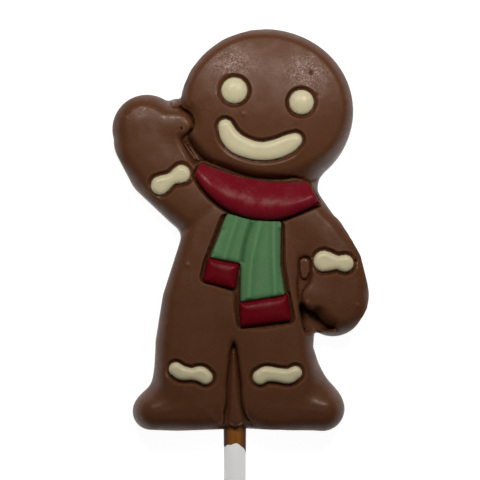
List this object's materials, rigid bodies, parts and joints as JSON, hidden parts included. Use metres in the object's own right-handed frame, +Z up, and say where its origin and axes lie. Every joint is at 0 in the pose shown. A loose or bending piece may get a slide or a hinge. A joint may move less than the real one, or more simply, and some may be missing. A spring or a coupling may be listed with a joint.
{
  "type": "chocolate lollipop",
  "caption": "Moulded milk chocolate lollipop shaped as a waving gingerbread man with a scarf, on a paper stick, lying flat on its back.",
  "frame": {"origin": "centre of the footprint, on the flat back that the lollipop lies on", "axes": "+Y along the stick towards the figure's head, +Z up out of the shown face, +X towards the lowered arm"},
  "size_m": [0.0534, 0.1952, 0.0121],
  "materials": {
    "milk_chocolate": "satin moulded milk chocolate",
    "white_chocolate": "satin white chocolate",
    "red_chocolate": "satin dark red coloured chocolate",
    "green_chocolate": "satin green coloured chocolate",
    "stick_paper": "matt rolled white paper"
  },
  "bodies": {
    "root": {"chocolate_figure": "milk_chocolate", "eye_left": "white_chocolate", "eye_right": "white_chocolate", "smile": "white_chocolate", "wrist_trim_raised": "white_chocolate", "wrist_trim_lowered": "white_chocolate", "ankle_trim_left": "white_chocolate", "ankle_trim_right": "white_chocolate", "scarf_collar": "red_chocolate", "scarf_end_short": "red_chocolate", "scarf_end_long": "red_chocolate", "scarf_tails": "green_chocolate", "stick": "stick_paper"}
  },
  "joints": []
}
